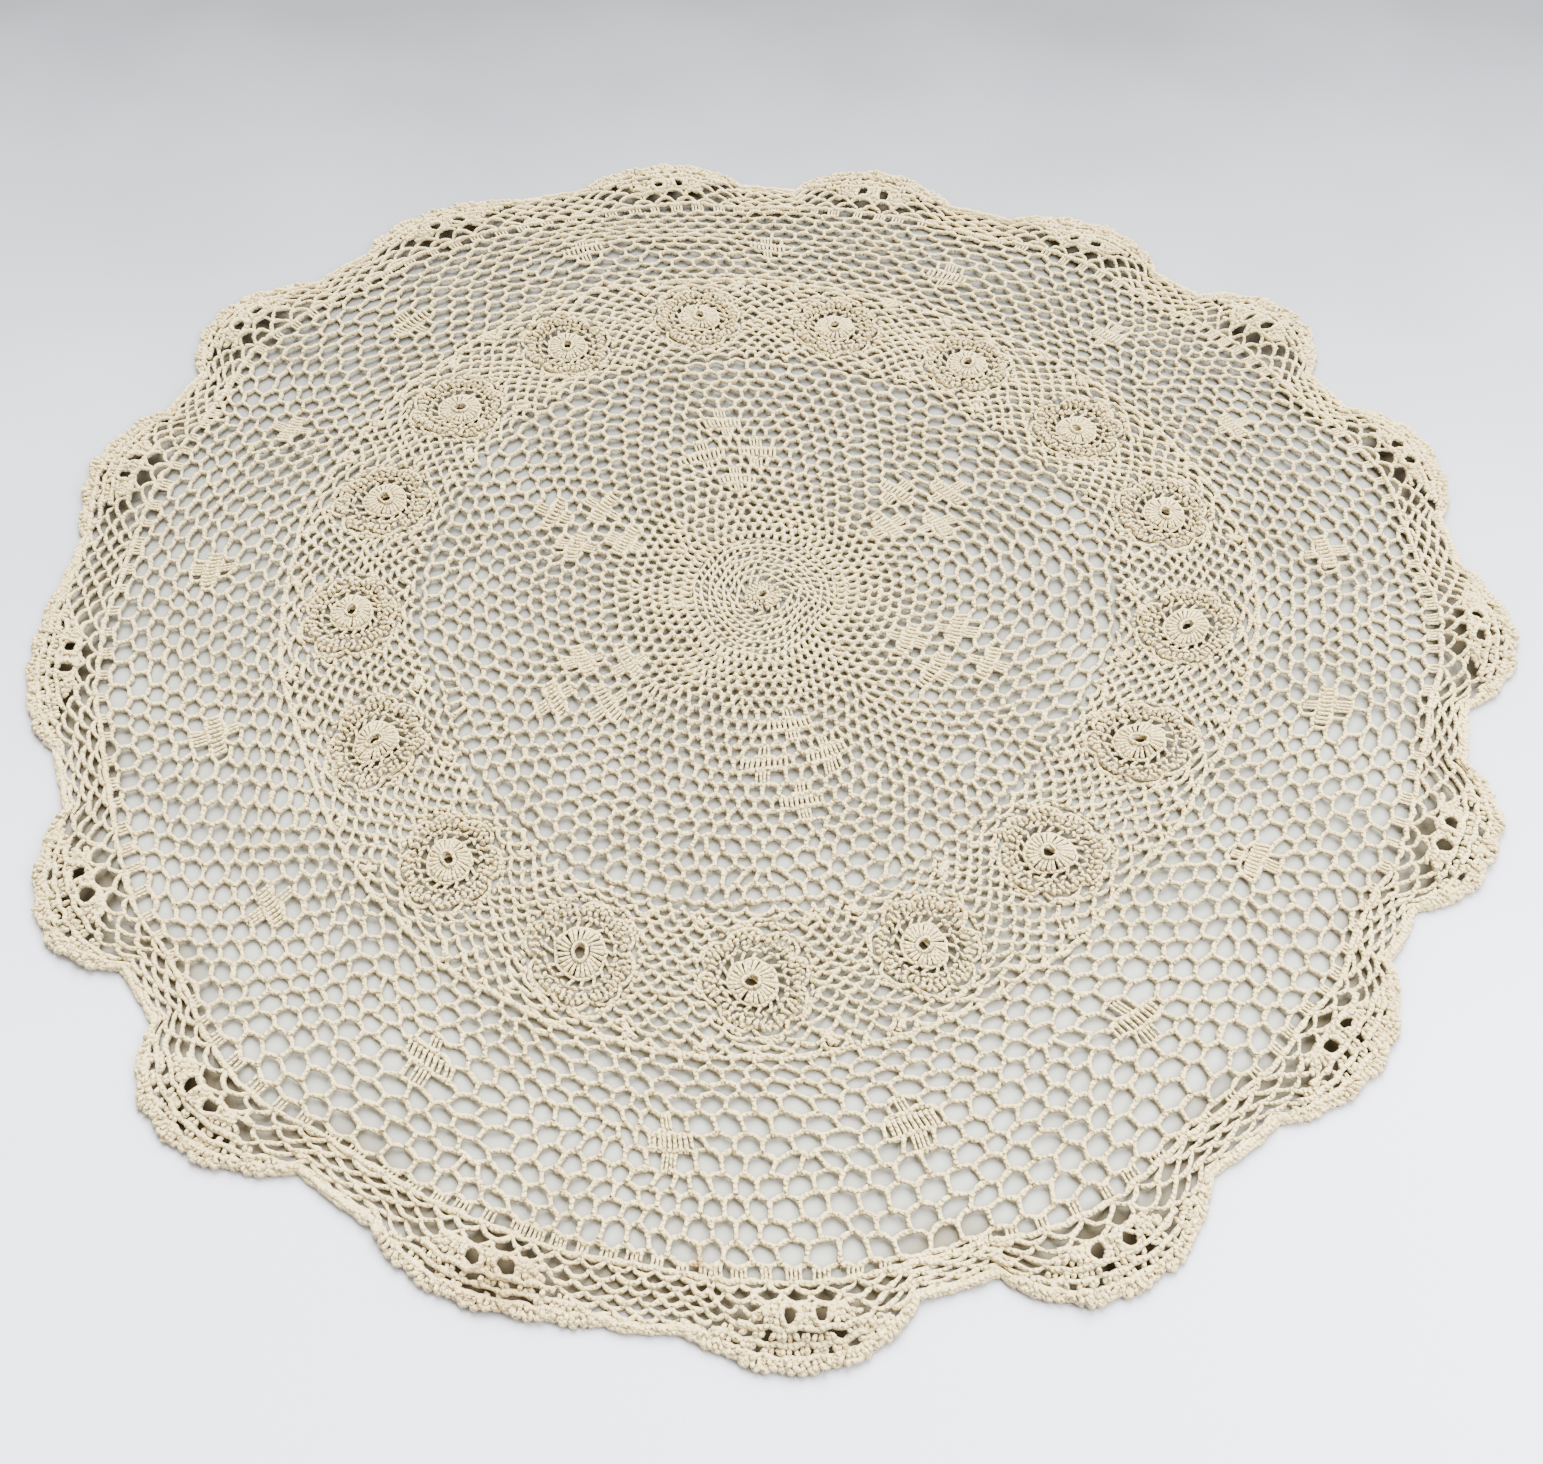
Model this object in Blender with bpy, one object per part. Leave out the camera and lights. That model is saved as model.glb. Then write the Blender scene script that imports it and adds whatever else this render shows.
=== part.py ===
"""Round crocheted lace doily, about 0.92 m across, lying flat on a table.

It is made as such a doily is worked: a round medallion from the middle outwards, a ring of
seventeen rosette motifs worked one by one and joined in, and a surround that is worked on from
the ring, the outer net with its scalloped edging. Each is a thin solid in its own node. The gaps
of the edging, the eyes and, at twice its pitch, the middle of the outer net are cut through.

Everything is first drawn flat and even, as a pattern: u counts repeats clockwise from the first
rosette and q is the reach from the middle. lay() then puts each point where the uneven cloth
really lies. Units are metres, +Z is up, and the origin is under the middle of the outline.
"""

import math
from collections import namedtuple

import bmesh
import bpy

# ---------------------------------------------------------------- sizes of the even pattern
REPEATS = 17                    # rosettes, diamonds and scallops around the cloth
RING = 0.260                    # reach of the rosettes' middles
MEDALLION_EDGE = 0.83 * RING    # last round of the medallion
MOTIF_EDGE = 1.165 * RING       # last round of the rosette motifs
DIAMOND_ROUND = 1.35 * RING     # round of the small filled diamonds
NET_END = 1.56 * RING           # round of small blocks that ends the net
RIM = 1.76 * RING               # tips of the scallops
FIRST_ROSETTE = math.radians(99.5)

THICK = 0.0024                  # the yarn's own thickness, so the cloth's
SEAM = 0.00034                  # space between two pieces worked together
SCALLOP = 0.36                  # half width of a scallop, in repeats
SCALLOP_FULLNESS = 0.8          # 1 is a parabola, 0.5 half an ellipse
LOBES = 5                       # shells along one scallop
LOBE_DEPTH = 0.0035             # how far the edge draws in between two shells
PUFF_PLACE = 0.5                # where a scallop is puffed up, from net end to rim
PUFF_WIDE = 0.34                # how far to each side the puff goes, in repeats
PUFF_DEEP = 0.42                # and how far in and out, from net end to rim

# ---------------------------------------------------------------- how the cloth lies
# One row for each repeat, clockwise. Turns are degrees anticlockwise of the even pattern, the
# rest are millimetres: reach of the rosette, of the diamond after it, of the net's end, of the
# scallop's tip and of the dip after it, and how high the scallop is puffed up off the table.
Row = namedtuple("Row", "rosette_turn rosette outer_turn diamond net_end tip dip puff")
LAY = [
    Row(+1.3, 262, +1.3, 336, 379, 440, 403, 4),
    Row(+0.0, 253, +0.0, 331, 373, 430, 408, 4),
    Row(-1.7, 253, -3.1, 344, 385, 440, 422, 5),
    Row(-2.0, 260, -1.7, 355, 398, 464, 434, 9),
    Row(-0.2, 273, +0.5, 365, 418, 471, 450, 8),
    Row(+0.8, 266, +2.4, 351, 414, 470, 434, 9),
    Row(+1.2, 250, +3.3, 340, 398, 458, 426, 8),
    Row(-0.2, 247, +4.6, 350, 402, 451, 435, 5),
    Row(-0.1, 259, +3.1, 355, 413, 466, 436, 6),
    Row(+0.0, 265, +3.7, 357, 417, 464, 449, 9),
    Row(+0.3, 268, +4.8, 358, 412, 456, 438, 7),
    Row(+0.6, 262, +2.7, 352, 411, 466, 434, 5),
    Row(+0.3, 255, +3.8, 344, 402, 462, 434, 6),
    Row(-1.0, 260, +3.1, 356, 404, 456, 447, 5),
    Row(-0.9, 264, +3.0, 358, 405, 466, 443, 6),
    Row(-0.1, 268, +4.3, 358, 416, 475, 442, 8),
    Row(+1.2, 268, +3.6, 359, 404, 454, 427, 5),
]
MM = 0.001

# ---------------------------------------------------------------- rosette motif, from its middle
EYE = 0.0027                    # radius of the open eye
DISC = 0.0135                   # solid round of long stitches
GROOVE = 0.0190                 # round of eyelets around it
PETALS = 0.0305                 # tips of the petals
PETAL_COUNT = 8
PETAL_DEPTH = 0.0045            # how far the edge draws in between two petals
DISC_RISE = 0.0006              # how far each stands above the plain cloth
PETAL_RISE = 0.0012

# ---------------------------------------------------------------- medallion, from its middle
CLUSTERS = 6                    # groups of four filled diamonds
CLUSTER_TURN = math.radians(40) # direction of the first one
CLUSTER_REACH = 0.485 * RING
CLUSTER_HALF = 0.098 * RING     # from a group's middle to its inner and outer diamond
CLUSTER_SIDE = 0.073 * RING     # from a group's middle to the two at its sides
CLUSTER_GAP = 0.0050            # half width of the open gap in a group's middle
CLUSTER_GAP_TALL = 0.0040       # its half height
DIAMOND_WIDE = 0.0140           # half sizes of a filled diamond
DIAMOND_TALL = 0.0100
DIAMOND_CROWN = 0.7             # share of it that stands at full height
DIAMOND_RISE = 0.0006
Ring = namedtuple("Ring", "reach points rise")
MEDALLION_RINGS = [             # eye, solid middle, eyelets, shells, fine net, coarse net
    Ring(0.0026, 12, 0.0),
    Ring(0.0120, 18, 0.0008),
    Ring(0.0200, 18, 0.0),
    Ring(0.0270, 24, 0.0010),
    Ring(0.0370, 24, 0.0),
    Ring(0.0680, 30, 0.0),
]

# ---------------------------------------------------------------- gaps cut in the surround
NET_PITCH = 2 * 0.0083          # twice the height of a round of the net
NET_CELLS = 4                   # cells to a repeat, each two of the net's own wide
NET_YARN = 0.0036
NET_ZIGZAG = 0.0042             # how far the bars between two rounds go up and down
Gap = namedtuple("Gap", "side reach half_wide half_tall")
SCALLOP_GAPS = [                # in repeats to the side, and from net end (0) to rim (1)
    Gap(-0.135, 0.42, 0.0044, 0.0034),
    Gap(-0.048, 0.50, 0.0050, 0.0044),
    Gap(+0.048, 0.50, 0.0050, 0.0044),
    Gap(+0.135, 0.42, 0.0044, 0.0034),
]

ECRU = (0.86, 0.80, 0.66, 1.0)
YARN_ROUGHNESS = 0.9


# ---------------------------------------------------------------- the lie of the cloth
def around(column, u):
    """One LAY column at u repeats, smooth through all the rows."""
    first = math.floor(u)
    t = u - first
    before, here, after, beyond = (getattr(LAY[(first + i) % REPEATS], column) for i in (-1, 0, 1, 2))
    bend = 2 * before - 5 * here + 4 * after - beyond
    twist = 3 * (here - after) + beyond - before
    return here + 0.5 * t * (after - before + t * (bend + t * twist))


def smooth(x):
    """0 to 1 with soft ends."""
    x = min(max(x, 0.0), 1.0)
    return x * x * (3 - 2 * x)


def edge(u):
    """Reach of the scalloped edge, its shells left out."""
    tip = around("tip", u)
    dip = around("dip", u - 0.5)
    side = abs(u - round(u)) / SCALLOP
    arch = (1 - side * side) ** SCALLOP_FULLNESS if side < 1 else 0.0
    return (dip + (tip - dip) * arch) * MM


def shells(u):
    """How far the edge draws in between the shells of a scallop."""
    side = (u - round(u)) / SCALLOP
    if abs(side) > 1:
        return 0.0
    return LOBE_DEPTH * (1 - abs(math.cos(0.5 * math.pi * LOBES * side)))


def between(q, stops):
    """Straight reading between (q, value) stops."""
    for (q0, value0), (q1, value1) in zip(stops, stops[1:]):
        if q <= q1:
            return value0 + (value1 - value0) * (q - q0) / (q1 - q0)
    return stops[-1][1]


def lay(u, q):
    """Where the pattern's point lies: x, y and the lift of its underside."""
    outer_turn = around("outer_turn", u)
    turn = between(q, [(0, 0), (RING, around("rosette_turn", u)), (DIAMOND_ROUND, outer_turn),
                       (RIM, outer_turn)])
    reach = between(q, [(0, 0), (RING, around("rosette", u) * MM),
                        (DIAMOND_ROUND, around("diamond", u - 0.5) * MM),
                        (NET_END, around("net_end", u) * MM), (RIM, edge(u))])
    angle = FIRST_ROSETTE + math.radians(turn) - u * math.tau / REPEATS
    side = abs(u - round(u)) / PUFF_WIDE
    depth = abs((q - NET_END) / (RIM - NET_END) - PUFF_PLACE) / PUFF_DEEP
    lift = around("puff", u) * MM * smooth(1 - side) * smooth(1 - depth)
    return reach * math.cos(angle), reach * math.sin(angle), lift


def turned(x, y):
    """u and q of a point given in the flat pattern's own x and y."""
    u = (FIRST_ROSETTE - math.atan2(y, x)) * REPEATS / math.tau
    return u % REPEATS, math.hypot(x, y)


def pattern_xy(u, q):
    angle = FIRST_ROSETTE - u * math.tau / REPEATS
    return q * math.cos(angle), q * math.sin(angle)


def outline_middle():
    """Middle of the laid outline's box, which goes to the origin."""
    steps = REPEATS * 40
    points = [lay(i / 40, RIM) for i in range(steps)]
    across = [p[0] for p in points]
    along = [p[1] for p in points]
    return (max(across) + min(across)) / 2, (max(along) + min(along)) / 2


MIDDLE = outline_middle()


# ---------------------------------------------------------------- tools for flat pieces
class Sheet:
    """A piece drawn flat in a bmesh, filled zone by zone and then laid and thickened."""

    def __init__(self):
        self.bm = bmesh.new()
        self.rise = self.bm.verts.layers.float.new("rise")

    def loop(self, points, rise=0.0):
        """A closed line through pattern x, y points, all raised by rise."""
        verts = [self.bm.verts.new((x, y, 0.0)) for x, y in points]
        for vert in verts:
            vert[self.rise] = rise
        pairs = zip(verts, verts[1:] + verts[:1])
        return [self.bm.edges.new(pair) for pair in pairs]

    def fill(self, *loops):
        """Cloth inside the first line and outside the others."""
        edges = [edge for line in loops for edge in line]
        bmesh.ops.triangle_fill(self.bm, use_beauty=True, edges=edges, normal=(0, 0, 1))

    def finish(self, name, collection, material):
        """Lay the flat drawing, give it its thickness and link it."""
        bm = self.bm
        flat = list(bm.verts)
        for vert in flat:
            x, y, lift = lay(*turned(vert.co.x, vert.co.y))
            vert.co = (x - MIDDLE[0], y - MIDDLE[1], lift)
        made = bmesh.ops.extrude_face_region(bm, geom=list(bm.faces))
        for item in made["geom"]:
            if isinstance(item, bmesh.types.BMVert):
                item.co.z += THICK + item[self.rise]
        bmesh.ops.recalc_face_normals(bm, faces=list(bm.faces))
        mesh = bpy.data.meshes.new(name)
        bm.to_mesh(mesh)
        bm.free()
        mesh.materials.append(material)
        piece = bpy.data.objects.new(name, mesh)
        collection.objects.link(piece)
        return piece


def ring_points(reach, count, first=0.0):
    """Evenly spaced points of a round about the doily's middle."""
    return [pattern_xy(first + i * REPEATS / count, reach) for i in range(count)]


def arc_points(first, last, reach, count):
    return [pattern_xy(first + (last - first) * i / count, reach) for i in range(count + 1)]


def around_point(u, q, outline):
    """Points given as (sideways, outwards) from a place in the pattern."""
    x, y = pattern_xy(u, q)
    out_x, out_y = x / q, y / q
    return [(x + out_y * side + out_x * out, y - out_x * side + out_y * out) for side, out in outline]


def cell(half_wide, half_tall, point=0.0):
    """A gap with two upright sides and a point inwards and outwards, point long each."""
    half_side = half_tall - point if point else half_tall / 2
    return [(half_wide, -half_side), (half_wide, half_side), (0, half_tall),
            (-half_wide, half_side), (-half_wide, -half_side), (0, -half_tall)]


def rhombus(half_wide, half_tall):
    return [(half_wide, 0), (0, half_tall), (-half_wide, 0), (0, -half_tall)]


ARC_STEPS = 5                   # points to a repeat on the rounds where two pieces meet


# ---------------------------------------------------------------- the pieces
def medallion(collection, material):
    """Round middle: eye, solid disc, shells, fine net and six groups of diamonds."""
    sheet = Sheet()
    rings = [sheet.loop(ring_points(r.reach, r.points), r.rise) for r in MEDALLION_RINGS]
    for inner, outer in zip(rings, rings[1:]):
        sheet.fill(outer, inner)
    holes = [rings[-1]]
    for group in range(CLUSTERS):
        angle = CLUSTER_TURN + group * math.tau / CLUSTERS
        u = (FIRST_ROSETTE - angle) * REPEATS / math.tau
        side = CLUSTER_SIDE * REPEATS / (math.tau * CLUSTER_REACH)
        places = [(u, CLUSTER_REACH - CLUSTER_HALF), (u, CLUSTER_REACH + CLUSTER_HALF),
                  (u - side, CLUSTER_REACH), (u + side, CLUSTER_REACH)]
        for diamond_u, diamond_q in places:
            base = rhombus(DIAMOND_WIDE, DIAMOND_TALL)
            top = rhombus(DIAMOND_WIDE * DIAMOND_CROWN, DIAMOND_TALL * DIAMOND_CROWN)
            foot = sheet.loop(around_point(diamond_u, diamond_q, base))
            crown = sheet.loop(around_point(diamond_u, diamond_q, top), DIAMOND_RISE)
            sheet.fill(foot, crown)
            sheet.fill(crown)
            holes.append(foot)
        gap = cell(CLUSTER_GAP, CLUSTER_GAP_TALL)
        holes.append(sheet.loop(around_point(u, CLUSTER_REACH, gap)))
    rim = sheet.loop(ring_points(MEDALLION_EDGE - SEAM / 2, REPEATS * ARC_STEPS, 0.5))
    sheet.fill(rim, *holes)
    return sheet.finish("medallion", collection, material)


def rosette(number, collection, material):
    """One motif: eye, solid disc, eyelet groove, petals and its own net out to the joins."""
    sheet = Sheet()

    def circle(radius, count, depth=0.0):
        turns = [math.tau * i / count for i in range(count)]
        radii = [radius - depth * (i % 2) for i in range(count)]
        return around_point(number, RING, [(r * math.sin(a), r * math.cos(a)) for r, a in zip(radii, turns)])

    eye = sheet.loop(circle(EYE, 8))
    disc = sheet.loop(circle(DISC, 12), DISC_RISE)
    groove = sheet.loop(circle(GROOVE, 12))
    crown = sheet.loop(circle((GROOVE + PETALS) / 2, 2 * PETAL_COUNT), PETAL_RISE)
    petals = sheet.loop(circle(PETALS, 2 * PETAL_COUNT, PETAL_DEPTH), 0.0)
    inner, outer = MEDALLION_EDGE + SEAM / 2, MOTIF_EDGE - SEAM / 2

    def side_u(q, side):
        seam = SEAM / 2 * REPEATS / (math.tau * q)
        return number + side * (0.5 - seam)

    inside = arc_points(side_u(inner, -1), side_u(inner, +1), inner, ARC_STEPS)
    outside = arc_points(side_u(outer, +1), side_u(outer, -1), outer, ARC_STEPS)
    after = pattern_xy(side_u(RING, +1), RING)
    before = pattern_xy(side_u(RING, -1), RING)
    tile = sheet.loop(inside + [after] + outside + [before])
    for small, large in ((eye, disc), (disc, groove), (groove, crown), (crown, petals), (petals, tile)):
        sheet.fill(large, small)
    return sheet.finish(f"rosette_{number + 1:02d}", collection, material)


def net_gaps(sheet):
    """The middle rounds of the outer net, cut at twice their pitch around solid diamonds."""
    gaps = []
    for row in (-1, 0, 1):
        q = DIAMOND_ROUND + row * NET_PITCH
        half_wide = math.pi * q / (REPEATS * NET_CELLS) - NET_YARN / 2
        half_tall = (NET_PITCH + NET_ZIGZAG - NET_YARN) / 2
        outline = cell(half_wide, half_tall, NET_ZIGZAG)
        for number in range(REPEATS * NET_CELLS):
            on_diamond = row == 0 and number % NET_CELLS == NET_CELLS // 2
            if not on_diamond:
                u = (number + (0.5 if row else 0.0)) / NET_CELLS
                gaps.append(sheet.loop(around_point(u, q, outline)))
    return gaps


def scallop_gaps(sheet, depth_at):
    """The large gaps beside the fans of every scallop."""
    gaps = []
    for number in range(REPEATS):
        for gap in SCALLOP_GAPS:
            outline = cell(gap.half_wide, gap.half_tall)
            gaps.append(sheet.loop(around_point(number + gap.side, depth_at(gap.reach), outline)))
    return gaps


def surround(collection, material):
    """Outer net and scalloped edging, worked on from the ring of rosettes."""
    sheet = Sheet()

    def depth_at(share):
        return NET_END + share * (RIM - NET_END)

    inner = sheet.loop(ring_points(MOTIF_EDGE + SEAM / 2, REPEATS * ARC_STEPS, 0.5))
    block_round = sheet.loop(ring_points(NET_END, REPEATS * NET_CELLS))
    sheet.fill(block_round, inner, *net_gaps(sheet))
    outer_puff = sheet.loop(ring_points(depth_at(PUFF_PLACE + PUFF_DEEP * 0.7), REPEATS * 6))
    sheet.fill(outer_puff, block_round, *scallop_gaps(sheet, depth_at))
    sheet.fill(sheet.loop(rim_points()), outer_puff)
    return sheet.finish("surround", collection, material)


def rim_points():
    """The scalloped edge: a point on each shell, one between shells, three in each dip."""
    lobe = SCALLOP / LOBES
    sides = [lobe * i for i in range(-LOBES, LOBES + 1)] + [0.5]
    points = []
    for number in range(REPEATS):
        for side in sides:
            u = number + side
            drawn_in = shells(u) * (RIM - NET_END) / (edge(u) - around("net_end", u) * MM)
            points.append(pattern_xy(u, RIM - drawn_in))
    return points


def cotton(name, colour):
    """Undyed cotton yarn."""
    material = bpy.data.materials.new(name)
    material.use_nodes = True
    shader = material.node_tree.nodes["Principled BSDF"]
    shader.inputs["Base Color"].default_value = colour
    shader.inputs["Roughness"].default_value = YARN_ROUGHNESS
    shader.inputs["Metallic"].default_value = 0.0
    return material


def build():
    for old in list(bpy.data.objects):
        bpy.data.objects.remove(old, do_unlink=True)
    collection = bpy.data.collections.new("lace_doily")
    bpy.context.scene.collection.children.link(collection)
    medallion(collection, cotton("medallion_cotton", ECRU))
    rosette_cotton = cotton("rosette_cotton", ECRU)
    for number in range(REPEATS):
        rosette(number, collection, rosette_cotton)
    surround(collection, cotton("surround_cotton", ECRU))


build()
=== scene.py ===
# %% [markdown]
# # A round crocheted lace doily
# The cloth is one thickness of cotton yarn, worked in rounds. Its solids come from the frame;
# here each is exchanged for the yarn itself, stitch by stitch. Bump on the solids would be less
# work, but the table shows through the lace, so real strands are made instead.

# %% Load the frame
from collections import namedtuple
from functools import partial
from math import atan2, cos, dist, hypot, pi, radians, sin, tau

import bpy
import numpy as np
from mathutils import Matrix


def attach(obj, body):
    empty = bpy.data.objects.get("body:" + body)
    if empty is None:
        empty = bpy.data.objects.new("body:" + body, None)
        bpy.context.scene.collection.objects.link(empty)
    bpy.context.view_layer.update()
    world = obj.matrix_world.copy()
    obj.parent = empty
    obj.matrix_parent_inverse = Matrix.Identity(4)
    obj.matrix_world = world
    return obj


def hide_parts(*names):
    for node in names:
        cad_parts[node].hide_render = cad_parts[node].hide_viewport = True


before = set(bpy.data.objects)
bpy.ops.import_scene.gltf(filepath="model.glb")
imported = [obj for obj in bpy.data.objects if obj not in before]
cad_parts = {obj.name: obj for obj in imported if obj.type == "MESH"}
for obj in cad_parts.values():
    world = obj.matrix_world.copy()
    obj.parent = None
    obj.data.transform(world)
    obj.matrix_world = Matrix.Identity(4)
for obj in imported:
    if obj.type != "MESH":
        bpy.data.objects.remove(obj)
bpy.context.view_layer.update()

draw = np.random.default_rng(17)

# %% [markdown]
# ## How the cloth lies
# Everything is first worked in an even pattern: u counts repeats clockwise from the first
# rosette, q is the reach from the middle. A real doily never lies that evenly, so a table of
# reaches and turns, one row for each repeat, moves the pattern to where the cloth lies. A lattice
# could do it too, but would squash the yarn; here only the middle line of each strand is moved.

# %% The lay of the cloth
MM = 0.001
REPEATS = 17
RING = 0.260  # from the middle to the rosettes' eyes, in metres
MEDALLION_EDGE = 0.83 * RING
MOTIF_EDGE = 1.165 * RING
DIAMOND_ROUND = 1.35 * RING
NET_END = 1.56 * RING
RIM = 1.76 * RING
FIRST_ROSETTE = radians(99.5)
SCALLOP = 0.36  # half the width of a scallop, in repeats
SCALLOP_FULLNESS = 0.8
# the puffs: their place on the way from the net's end to the rim, and their half sizes
PUFF_PLACE, PUFF_WIDE, PUFF_DEEP = 0.5, 0.34, 0.42
# turns in degrees, reaches and puffs in millimetres
COLUMNS = ("rosette_turn", "rosette", "outer_turn", "diamond", "net_end", "tip", "dip", "puff")
ROWS = [
    (+1.3, 262, +1.3, 336, 379, 440, 403, 4),
    (+0.0, 253, +0.0, 331, 373, 430, 408, 4),
    (-1.7, 253, -3.1, 344, 385, 440, 422, 5),
    (-2.0, 260, -1.7, 355, 398, 464, 434, 9),
    (-0.2, 273, +0.5, 365, 418, 471, 450, 8),
    (+0.8, 266, +2.4, 351, 414, 470, 434, 9),
    (+1.2, 250, +3.3, 340, 398, 458, 426, 8),
    (-0.2, 247, +4.6, 350, 402, 451, 435, 5),
    (-0.1, 259, +3.1, 355, 413, 466, 436, 6),
    (+0.0, 265, +3.7, 357, 417, 464, 449, 9),
    (+0.3, 268, +4.8, 358, 412, 456, 438, 7),
    (+0.6, 262, +2.7, 352, 411, 466, 434, 5),
    (+0.3, 255, +3.8, 344, 402, 462, 434, 6),
    (-1.0, 260, +3.1, 356, 404, 456, 447, 5),
    (-0.9, 264, +3.0, 358, 405, 466, 443, 6),
    (-0.1, 268, +4.3, 358, 416, 475, 442, 8),
    (+1.2, 268, +3.6, 359, 404, 454, 427, 5),
]
LAY = dict(zip(COLUMNS, np.array(ROWS, float).T))


def around(column, u):
    """One column of the table at u repeats, smooth through all the rows."""
    first = np.floor(u).astype(int)
    t = u - first
    before, here, after, beyond = (LAY[column][(first + i) % REPEATS] for i in (-1, 0, 1, 2))
    bend = 2 * before - 5 * here + 4 * after - beyond
    twist = 3 * (here - after) + beyond - before
    return here + 0.5 * t * (after - before + t * (bend + t * twist))


def smooth(x):
    x = np.clip(x, 0.0, 1.0)
    return x * x * (3 - 2 * x)


def edge(u):
    """Reach of the scalloped edge."""
    tip, dip = around("tip", u), around("dip", u - 0.5)
    side = np.clip(np.abs(u - np.round(u)) / SCALLOP, 0, 1)
    return (dip + (tip - dip) * (1 - side * side) ** SCALLOP_FULLNESS) * MM


def between(q, stops):
    """Straight reading between (q, value) stops, and on beyond the last one."""
    (q0, value0), (q1, value1) = stops[-2:]
    value = value0 + (value1 - value0) * (q - q0) / (q1 - q0)
    for (q0, value0), (q1, value1) in list(zip(stops, stops[1:]))[-2::-1]:
        value = np.where(q <= q1, value0 + (value1 - value0) * (q - q0) / (q1 - q0), value)
    return value


def lay(u, q):
    """Where pattern points lie: x, y and the height of the cloth's underside."""
    outer_turn = around("outer_turn", u)
    turn = between(q, [(0, 0 * u), (RING, around("rosette_turn", u)),
                       (DIAMOND_ROUND, outer_turn), (RIM, outer_turn)])
    reach = between(q, [(0, 0 * u), (RING, around("rosette", u) * MM),
                        (DIAMOND_ROUND, around("diamond", u - 0.5) * MM),
                        (NET_END, around("net_end", u) * MM), (RIM, edge(u))])
    angle = FIRST_ROSETTE + np.radians(turn) - u * tau / REPEATS
    side = np.abs(u - np.round(u)) / PUFF_WIDE
    depth = np.abs((q - NET_END) / (RIM - NET_END) - PUFF_PLACE) / PUFF_DEEP
    lift = around("puff", u) * MM * smooth(1 - side) * smooth(1 - depth)
    return np.stack([reach * np.cos(angle), reach * np.sin(angle), lift], -1)


steps = np.arange(REPEATS * 40) / 40
outline = lay(steps, np.full(len(steps), RIM))
MIDDLE = (outline.max(0)[:2] + outline.min(0)[:2]) / 2
print("middle of the outline", MIDDLE.round(4))

# %% The pattern's small pulls and swells
STRAY = 0.0011  # how far the cloth is pulled this way and that
FLOAT = 0.0008  # how far the lace stands off the table, on average
SWELL = 0.28  # how much one ripple adds to that or takes from it


def pattern_xy(u, q):
    angle = FIRST_ROSETTE - np.asarray(u) * tau / REPEATS
    return np.stack([q * np.cos(angle), q * np.sin(angle)], -1)


def ripples(count, shortest, longest):
    """Waves over the cloth, each with its radians to the metre, its direction and its phase."""
    return [(tau / draw.uniform(shortest, longest), draw.uniform(0, tau),
             draw.uniform(0, tau)) for _ in range(count)]


def ripple(xy, waves, direction, phase):
    return np.sin(waves * (xy[..., 0] * cos(direction) + xy[..., 1] * sin(direction))
                  + phase)


PULLS = ripples(10, 0.05, 0.13)
SWELLS = ripples(6, 0.06, 0.16)


def pulled(xy):
    """Pattern points drawn a little out of true, smoothly over a few centimetres."""
    moved = np.array(xy, float)
    for number, wave in enumerate(PULLS):
        moved[..., number % 2] += STRAY * ripple(xy, *wave) / 2
    return moved


def float_off(xy):
    """Gentle swells in which the lace stands off the table."""
    swell = np.ones(xy.shape[:-1])
    for wave in SWELLS:
        swell += SWELL * ripple(xy, *wave)
    return FLOAT * np.clip(swell, 0.0, 2.2)


def laid(xy):
    """Pattern x, y points as they lie, in metres, in the frame of the solids."""
    xy = pulled(xy)
    u = (FIRST_ROSETTE - np.arctan2(xy[..., 1], xy[..., 0])) * REPEATS / tau
    points = lay(u, np.hypot(xy[..., 0], xy[..., 1]))
    points[..., :2] -= MIDDLE
    points[..., 2] += float_off(xy)
    return points


print("pulls", len(PULLS), "swells", len(SWELLS))

# %% [markdown]
# ## Yarn
# Crochet is one long yarn pulled into loops: a chain is a plait of loops about 2.8 mm apart, and
# a post (a long stitch) is a few strands twisted together. Every loop would take millions of
# faces, so each chain is a thin uneven tube, and its links are left to the material. Curves with
# a bevel could make the tubes, but twenty thousand of them are slow; arrays take a second.

# %% The strands of a piece
YARN = 0.00178  # half the width of a chain or a post
TIGHT = 0.0011  # and where it is drawn tight
FLATNESS = 0.88  # its height for its width
LINK = 0.0028  # length of one chain stitch
LOOSE = 0.0008  # how far up a loose chain's middle may stand
RING_STEP = 0.0017  # from one ring of a tube's points to the next
KNOT_TURN = 0.45  # how far the knots turn out of line, in radians
UNEVEN = 0.17  # how much the thickness varies along a chain
SECTION = np.radians([-20, 55, 125, 200])  # directions of a strand's edges, flat side down
POST_AT = np.array([0.0, 0.28, 0.68, 1.0])  # a post's points, from foot to head
POST_WIDTH = np.array([1.45, 0.9, 0.95, 1.5])  # its width there
POST_LIFT = np.array([0.2, 0.9, 1.0, 0.7])  # and how much of its bulge
KNOT_WIDTH = np.array([0.75, 1.2, 0.8])  # a knot's width from end to end
KNOT_ARCH = np.array([-0.0003, 0.0004, -0.0003])  # and its rise


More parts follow.
